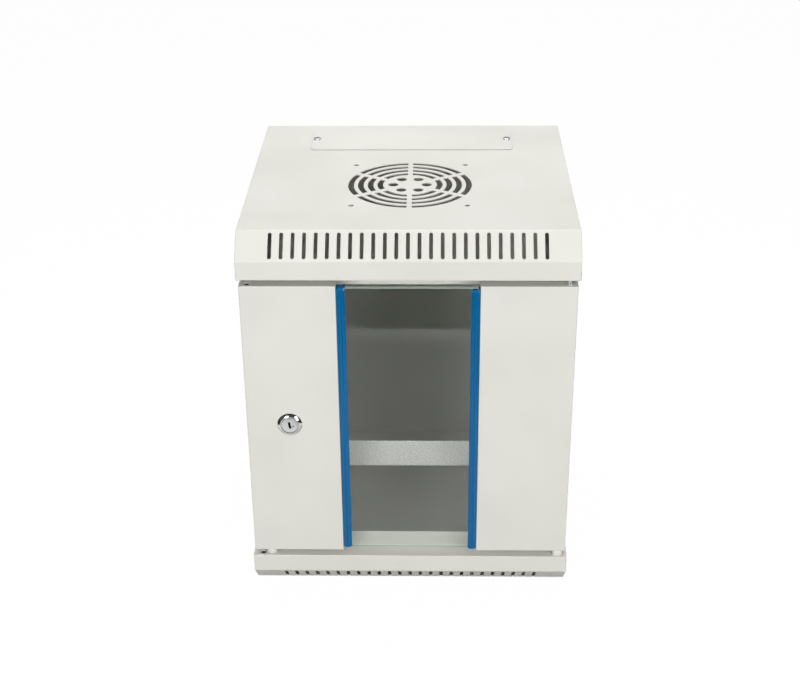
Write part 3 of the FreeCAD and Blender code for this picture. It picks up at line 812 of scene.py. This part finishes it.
lockShape = {
    "steps": 72,
    # radius and height over the door of the bezel, from its foot to the seat of the plug
    "bezel": ((9.0, 0.0), (11.25, 0.0), (11.4, 0.12), (11.4, 0.25), (11.28, 0.42), (8.98, 2.05), (8.83, 2.12),
              (8.6, 2.16), (8.3, 2.16), (8.02, 2.1), (7.9, 1.95), (7.86, 0.4), (6.6, 0.3), (6.6, 0.0)),
    "barrel": (9.0, 6.6, 22.0), "flat": 8.0,     # radii and length; two flats this far from its axis
    # the same for the head of the plug
    "head": ((7.78, 0.4), (7.78, 1.7), (7.66, 1.9), (7.4, 1.99), (7.15, 2.0), (6.95, 1.94), (6.75, 1.98)),
    "stem": (6.5, 0.35),          # radius, and where it meets the head
    "tail": (3.5, 2.0, 1.0),      # half width, reach behind the stem and into it
    "keyway": (2.3, 6.9), "keyDepth": 7.0, "tilt": 10.0,           # width, height, depth and slant
    "keyCorner": (0.6, 0.8),      # where its corners are cut, as shares of half its width and height
    "ward": (0.3, 0.9),           # rib in its side: depth and half height
    "pin": (3.2, -1.0, 0.7, 0.5),                # driven pin in the face: right, up, radius, depth
}


def makeHousing(place):
    shape = lockShape
    housing = bmesh.new()
    joinInto(housing, lathe(shape["bezel"], shape["steps"], closed=True))
    outer, inner, length = shape["barrel"]
    barrel = lathe(((outer, 0.0), (inner, 0.0), (inner, -length), (outer, -length)), shape["steps"],
                   closed=True)
    for side in (-1, 1):
        cut = bmesh.ops.bisect_plane(barrel, geom=barrel.verts[:] + barrel.edges[:] + barrel.faces[:],
                                     plane_co=(0, side * shape["flat"] * mm, 0), plane_no=(0, side, 0),
                                     clear_outer=True)
        bmesh.ops.edgenet_fill(barrel, edges=only(BMEdge, cut["geom_cut"]))
    bmesh.ops.recalc_face_normals(barrel, faces=barrel.faces[:])
    joinInto(housing, barrel)
    bmesh.ops.transform(housing, matrix=place, verts=housing.verts[:])
    piece = makePiece("lockHousingCast", housing, [chrome], "door", ["lock_housing"])
    shadeByAngle(piece, 35)


def makePlug(place):
    # face with the keyway sunk in it, turned head and stem, square tail for the cam
    shape = lockShape
    faceRadius, faceHeight = shape["head"][-1]
    plug = bmesh.new()
    edges = circleInto(plug, faceRadius * mm, (0, 0, faceHeight * mm), shape["steps"])
    wide, tall = (size / 2 for size in shape["keyway"])
    cutWide, cutTall = wide * shape["keyCorner"][0], tall * shape["keyCorner"][1]
    ward, step = shape["ward"]
    outline = [(-cutWide, -tall), (cutWide, -tall), (wide, -cutTall), (wide, -step), (wide - ward, -step),
               (wide - ward, step), (wide, step), (wide, cutTall), (cutWide, tall), (-cutWide, tall),
               (-wide, cutTall), (-wide, -cutTall)]
    turn = Matrix.Rotation(math.radians(shape["tilt"]), 3, "Z")
    mouth = loopInto(plug, [turn @ Vector((x, y, faceHeight)) * mm for x, y in outline])
    pinRight, pinUp, pinRadius, pinDepth = shape["pin"]
    pin = circleInto(plug, pinRadius * mm, Vector((pinRight, pinUp, faceHeight)) * mm, 16)
    fillPanel(plug, edges + mouth + pin)
    # the walls and floors of the keyway and the pin hole take the brass with painted shade
    for hole, depth in ((mouth, shape["keyDepth"]), (pin, pinDepth)):
        for face in sinkInto(plug, hole, depth * mm):
            face.material_index = 1
    stem, seat = shape["stem"]
    end = -shape["barrel"][2]
    joinInto(plug, lathe(shape["head"][::-1] + ((stem, seat), (stem, end), (0.0, end)), shape["steps"]))
    bmesh.ops.remove_doubles(plug, verts=plug.verts[:], dist=same)
    bmesh.ops.recalc_face_normals(plug, faces=plug.faces[:])
    half, reach, bite = shape["tail"]
    joinInto(plug, boxBetween(Vector((-half, -half, end - reach)) * mm,
                              Vector((half, half, end + bite)) * mm))
    bmesh.ops.transform(plug, matrix=place, verts=plug.verts[:])
    piece = makePiece("lockPlugTurned", plug, [chrome, shadedBrass], "lock_core", ["lock_plug"])
    shadeByAngle(piece, 35)


def makeLock():
    low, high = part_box("lock_housing")
    centre = Vector(((low.x + high.x) / 2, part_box("door_left_panel")[0].y, (low.z + high.z) / 2))
    place = Matrix.Translation(centre) @ Matrix.Rotation(math.radians(90), 4, "X")   # local Z looks out
    makeHousing(place)
    makePlug(place)


makeLock()
print("lock ready")


# hinge pins, spring, spacer and glide

hingeShape = {
    "steps": 28, "pinRadius": 2.75, "bend": 5.0, "bendSteps": 8, "pinEnd": 0.7,
    "collar": (4.4, 2.5), "collarEdge": 0.3, "bite": 0.1,          # the collar sits this deep on the pin
    "coilRadius": 3.6, "wire": 0.45, "turns": 5, "turnSteps": 20, "travel": 6.0,
    "ringEdge": 0.5, "ringCut": 0.15,            # round edge of the spacer and how far its middle is cut
    "glideFoot": ((1.0, 0.0), (0.5, 0.15), (0.15, 0.5), (0.0, 1.0)),       # in from its side, up from below
    "glidePeg": (2.0, 1.95, 1.3, 0.6),           # radii at its foot, neck and point; length of the point
}


def makeTopPin():
    # a bent rod with a collar that the spring pushes up
    shape = hingeShape
    low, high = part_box("top_hinge_pin")
    spacerLow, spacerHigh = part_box("hinge_spacer")
    centre = (spacerLow + spacerHigh) / 2
    radius, bend = shape["pinRadius"] * mm, shape["bend"] * mm
    elbowTop = low.z + radius + bend
    bm = bmesh.new()
    made = bmesh.ops.create_circle(bm, cap_ends=True, segments=shape["steps"], radius=radius)
    bmesh.ops.translate(bm, vec=(centre.x, centre.y, high.z), verts=made["verts"])
    verts, ring, _ = pullEdges(bm, bm.edges[:], (0, 0, elbowTop - high.z))
    elbow = bmesh.ops.spin(bm, geom=verts + ring, cent=(centre.x - bend, centre.y, elbowTop), axis=(0, 1, 0),
                           dvec=(0, 0, 0), angle=math.radians(90), steps=shape["bendSteps"], use_merge=False,
                           use_normal_flip=False, use_duplicate=False)
    _, ring, _ = pullEdges(bm, only(BMEdge, elbow["geom_last"]), (low.x - centre.x + bend, 0, 0))
    bmesh.ops.edgeloop_fill(bm, edges=ring)
    bmesh.ops.recalc_face_normals(bm, faces=bm.faces[:])
    roundEdges(bm, sharpEdges(bm, 60), shape["pinEnd"] * mm, 3)
    outer, height = shape["collar"]
    inner, edge = shape["pinRadius"] - shape["bite"], shape["collarEdge"]
    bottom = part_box("hinge_pin_spring")[1].z / mm
    top = bottom + height
    collar = lathe(((inner, top), (outer - edge, top), (outer, top - edge), (outer, bottom + edge),
                    (outer - edge, bottom), (inner, bottom)), shape["steps"], closed=True)
    joinInto(bm, collar, Matrix.Translation((centre.x, centre.y, 0)))
    piece = makePiece("topPinBent", bm, [brightZinc], "hinge_pin", ["top_hinge_pin"])
    shadeByAngle(piece, 35)


def makeSpring():
    shape = hingeShape
    low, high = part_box("hinge_pin_spring")
    centre = (low + high) / 2
    wire = shape["wire"] * mm
    steps = shape["turns"] * shape["turnSteps"]
    rise = high.z - low.z - 2 * wire
    bm = bmesh.new()
    made = bmesh.ops.create_circle(bm, cap_ends=True, segments=8, radius=wire)
    bmesh.ops.rotate(bm, cent=(0, 0, 0), matrix=Matrix.Rotation(math.radians(90), 3, "X"),
                     verts=made["verts"])
    bmesh.ops.translate(bm, vec=(centre.x + shape["coilRadius"] * mm, centre.y, low.z + wire),
                        verts=made["verts"])
    bmesh.ops.spin(bm, geom=bm.verts[:] + bm.edges[:] + bm.faces[:], cent=(centre.x, centre.y, 0),
                   axis=(0, 0, 1), dvec=(0, 0, rise / steps), angle=math.tau * shape["turns"], steps=steps,
                   use_merge=False, use_normal_flip=False, use_duplicate=False)
    bmesh.ops.remove_doubles(bm, verts=bm.verts[:], dist=same)
    bmesh.ops.recalc_face_normals(bm, faces=bm.faces[:])
    spring = makePiece("pinSpringCoil", bm, [brightZinc], "door", ["hinge_pin_spring"])
    shadeByAngle(spring, 60)
    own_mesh(spring)


def makeNylonRings():
    shape = hingeShape
    bore, edge, cut = shape["pinRadius"], shape["ringEdge"], shape["ringCut"]
    low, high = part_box("hinge_spacer")
    centre = (low + high) / 2
    radius = (high.x - low.x) / 2 / mm
    bottom, top = low.z / mm, high.z / mm
    ring = lathe(((bore, bottom), (radius - edge, bottom), (radius - cut, bottom + cut),
                  (radius, bottom + edge), (radius, top - edge), (radius - cut, top - cut),
                  (radius - edge, top), (bore, top)), shape["steps"] * 2, closed=True)
    bmesh.ops.translate(ring, vec=(centre.x, centre.y, 0), verts=ring.verts[:])
    shadeByAngle(makePiece("nylonSpacer", ring, [nylon], "cabinet", ["hinge_spacer"]), 50)

    low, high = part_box("door_glide")
    centre = (low + high) / 2
    bottom, top = low.z / mm, high.z / mm
    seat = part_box("door_left_panel")[0].z / mm
    foot, neck, point, pointLength = shape["glidePeg"]
    profile = [(0.0, bottom)] + [(radius - inward, bottom + up) for inward, up in shape["glideFoot"]]
    profile += [(radius, seat), (foot, seat), (neck, top - pointLength), (point, top), (0.0, top)]
    button = lathe(profile, shape["steps"] * 2)
    bmesh.ops.translate(button, vec=(centre.x, centre.y, 0), verts=button.verts[:])
    shadeByAngle(makePiece("nylonGlide", button, [nylon], "door", ["door_glide"]), 50)


makeTopPin()
makeSpring()
makeNylonRings()
print("hinge ready")


# lights, floor and camera

studio = {
    "room": 0.32,                 # light of the room, level with the cabinet and ahead of it
    "behind": 0.52, "behindSpan": (0.30, 0.60),  # light behind it, and where the room turns into that
    "above": 0.23, "aboveSpan": (0.40, 0.60),    # the same over it
    "shineShare": 0.35,           # of that light is seen in shiny surfaces: the walls stand far off
    "leftBox": {"at": (-0.60, -1.28, 0.62), "aim": (0.0, -0.15, 0.2), "size": (0.45, 0.78), "watts": 12.4},
    "rightBox": {"at": (0.88, -1.24, 0.62), "aim": (0.0, -0.15, 0.2), "size": (0.45, 0.78), "watts": 13.0},
    "topBox": {"at": (0.0, 0.39, 1.33), "aim": (0.0, 0.0, 0.3), "size": (1.2, 0.6), "watts": 13.4},
    "tableSide": 0.44,            # half width of the white table
    "tableFront": 0.71,           # front edge, ahead of the cabinet's centre
    "tableNear": 0.26, "edgeShare": 0.47,        # the table dims from here to its front edge, to this share
    "floorShare": 0.21,           # light of the floor ahead of the table, as a share of the table's
    "bounceShare": 0.22,          # of the table's light goes back to the cabinet
    "floorSize": 8.0, "floorDrop": 0.0002,
    "tableColour": "fafaf7", "floorColour": "2c2c2c",
    "whiteShare": 0.98,           # of the floor's look to the camera, the rest shows shadows
}

# painted shade on the table: a dark strip that stands in for the camera's stand as the glass reflects it
# dimly; its reach on the table, its width and its share of light
paintedStandShade = {"near": 0.26, "spread": 0.2, "far": 0.68, "farBlur": 0.01, "halfWidth": 0.04, "blur": 0.08,
          "light": 0.56}


def seenDirectly(material):
    # 1 for what the camera sees, straight or through the glass, 0 for light on its way to a surface
    path = addNode(material, "LightPath")
    seen = addNode(material, "Math", {0: path.outputs["Is Camera Ray"],
                                                1: path.outputs["Is Transmission Ray"]}, operation="MAXIMUM")
    bounces = addNode(material, "Math", {0: path.outputs["Diffuse Depth"],
                                                   1: path.outputs["Glossy Depth"]}, operation="ADD")
    none = addNode(material, "Math", {0: bounces, 1: 0.5}, operation="LESS_THAN")
    return addNode(material, "Math", {0: seen, 1: none}, operation="MULTIPLY")


def makeWorld():
    # white behind the object; the room that lights it and shines in its metal is darker
    world = bpy.data.worlds.new("studioWorld")
    bpy.context.scene.world = world
    world.use_nodes = True
    world.node_tree.nodes.clear()
    way = addNode(world, "SeparateXYZ", {
        0: addNode(world, "TexCoord").outputs["Generated"]})
    level = studio["room"]
    for towards, part in ((way.outputs[1], "behind"), (way.outputs[2], "above")):
        share = addNode(world, "MapRange", {0: towards, **ends(studio[part + "Span"], (0.0, 1.0))})
        level = addNode(world, "MapRange", {0: share, 3: level, 4: studio[part]})
    path = addNode(world, "LightPath")
    share = addNode(world, "MapRange", {0: path.outputs["Is Glossy Ray"], 3: 1.0,
                                                  4: studio["shineShare"]})
    level = addNode(world, "Math", {0: level, 1: share}, operation="MULTIPLY")
    level = addNode(world, "MapRange", {0: seenDirectly(world), 3: level, 4: 1.0})
    sky = addNode(world, "Background", {"Color": (1, 1, 1, 1), "Strength": level})
    addNode(world, "OutputWorld", {0: sky})


def makeFloor():
    # a white table on a dark floor; to the camera both are the pale floor, with a trace of shadow
    look, standShade = studio, paintedStandShade
    near, front, blur = look["tableNear"], look["tableFront"], standShade["blur"]
    paint, place = newMaterial("whiteTable")
    place = addNode(paint, "SeparateXYZ", {0: place})
    across = addNode(paint, "Math", {0: place.outputs[0]}, operation="ABSOLUTE")
    ahead = addNode(paint, "Math", {0: place.outputs[1], 1: -1.0}, operation="MULTIPLY")
    inside = addNode(paint, "Math", {0: across, 1: look["tableSide"]}, operation="LESS_THAN")
    beyond = addNode(paint, "Math", {0: ahead, 1: front}, operation="GREATER_THAN")
    lit = addNode(paint, "MapRange", {0: ahead, **ends((near, front), (1.0, look["edgeShare"]))})
    # painted shade of the camera's stand: the table is dimmed to a share of its light in a strip that widens
    # ahead of the cabinet and ends at its far reach
    width = addNode(paint, "MapRange", {
        0: ahead, **ends((standShade["near"], standShade["near"] + standShade["spread"]), (-blur, standShade["halfWidth"]))})
    beside = addNode(paint, "Math", {0: across, 1: width}, operation="SUBTRACT")
    farSpan = (standShade["far"] - standShade["farBlur"], standShade["far"] + standShade["farBlur"])
    past = addNode(paint, "MapRange", {0: ahead, **ends(farSpan, (standShade["light"], 1.0))})
    dimmed = addNode(paint, "MapRange", {0: beside, **ends((0.0, blur), (past, 1.0))})
    lit = addNode(paint, "Math", {0: lit, 1: dimmed}, operation="MULTIPLY")
    floorLit = addNode(paint, "MapRange", {
        0: beside, **ends((0.0, blur), (0.0, look["floorShare"]))})
    lit = addNode(paint, "MapRange", {0: beyond, 3: lit, 4: floorLit})
    lit = addNode(paint, "Math", {0: lit, 1: inside}, operation="MULTIPLY")
    path = addNode(paint, "LightPath")
    share = addNode(paint, "MapRange", {0: path.outputs["Diffuse Depth"], 3: 1.0,
                                                  4: look["bounceShare"]})
    lit = addNode(paint, "Math", {0: lit, 1: share}, operation="MULTIPLY")
    seen = seenDirectly(paint)
    onTable = addNode(paint, "Math", {0: lit, 1: seen}, operation="MAXIMUM")
    colour = addNode(paint, "Mix", {0: onTable, 6: hexColour(look["floorColour"]),
                                              7: hexColour(look["tableColour"])}, data_type="RGBA")
    dull = addNode(paint, "BsdfDiffuse", {"Color": colour.outputs[2]})
    glow = addNode(paint, "Emission", {"Color": (1, 1, 1, 1), "Strength": 1.0})
    white = addNode(paint, "Math", {0: seen, 1: look["whiteShare"]}, operation="MULTIPLY")
    finishMaterial(paint, addNode(paint, "MixShader", {0: white, 1: dull, 2: glow}))
    bm = bmesh.new()
    bmesh.ops.create_grid(bm, x_segments=1, y_segments=1, size=look["floorSize"] / 2)
    bmesh.ops.translate(bm, vec=(0, 0, -look["floorDrop"]), verts=bm.verts[:])
    mesh = bpy.data.meshes.new("floor")
    bm.to_mesh(mesh)
    bm.free()
    mesh.materials.append(paint)
    floor = bpy.data.objects.new("floor", mesh)
    bpy.context.scene.collection.objects.link(floor)


def makeSoftbox(name):
    look = studio[name]
    lamp = bpy.data.lights.new(name, "AREA")
    lamp.shape = "RECTANGLE"
    lamp.size, lamp.size_y = look["size"]
    lamp.energy = look["watts"]
    holder = bpy.data.objects.new(name, lamp)
    holder.location = look["at"]
    aim = Vector(look["aim"]) - Vector(look["at"])
    holder.rotation_euler = aim.to_track_quat("-Z", "Y").to_euler()
    holder.visible_camera = False
    bpy.context.scene.collection.objects.link(holder)


shot = {
    "at": (0.02235, -1.28788, 0.85326),
    "lens": 65.02, "sensor": 36.0,
    "yaw": -0.0262, "down": 0.4795, "roll": -0.0100,               # radians
}


def makeCamera():
    camera = bpy.data.cameras.new("shotCamera")
    camera.lens = shot["lens"]
    camera.sensor_width = shot["sensor"]
    holder = bpy.data.objects.new("shotCamera", camera)
    yaw, down, roll = shot["yaw"], shot["down"], shot["roll"]
    ahead = Vector((math.sin(yaw) * math.cos(down), math.cos(yaw) * math.cos(down), -math.sin(down)))
    right = Vector((math.cos(yaw), -math.sin(yaw), 0))
    up = right.cross(ahead)
    turnedRight = math.cos(roll) * right + math.sin(roll) * up
    turnedUp = math.cos(roll) * up - math.sin(roll) * right
    axes = Matrix((turnedRight, turnedUp, -ahead)).transposed().to_4x4()
    holder.matrix_world = Matrix.Translation(shot["at"]) @ axes
    bpy.context.scene.collection.objects.link(holder)
    bpy.context.scene.camera = holder


makeWorld()
makeFloor()
for box in ("leftBox", "rightBox", "topBox"):
    makeSoftbox(box)
makeCamera()
bpy.context.scene.view_settings.view_transform = "Standard"
print("studio ready")
